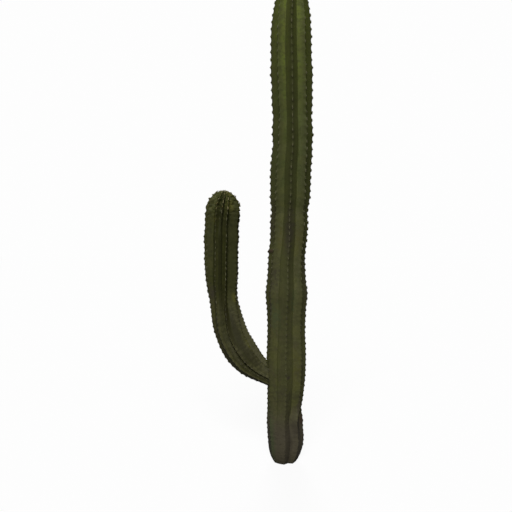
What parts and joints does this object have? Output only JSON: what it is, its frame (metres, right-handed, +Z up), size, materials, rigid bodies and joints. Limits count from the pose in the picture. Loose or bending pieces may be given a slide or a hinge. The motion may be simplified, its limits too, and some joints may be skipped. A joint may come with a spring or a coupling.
{
  "type": "saguaro cactus",
  "caption": "Tall ribbed columnar cactus with a low arm that turns up beside the trunk, rooted at a flat cut at ground level.",
  "frame": {"origin": "middle of the flat cut under the trunk, at ground level", "axes": "+Z up along the trunk, -Y the front, -X the side the arm grows on; the arm stands a little behind the trunk"},
  "size_m": [1.1028, 0.5883, 4.84],
  "materials": {
    "trunk_skin": "matte",
    "arm_skin": "matte",
    "areole_felt": "matte",
    "spines": "satin"
  },
  "bodies": {
    "root": {"trunk": "trunk_skin", "arm_elbow": "arm_skin", "arm_upright": "arm_skin"}
  },
  "joints": []
}
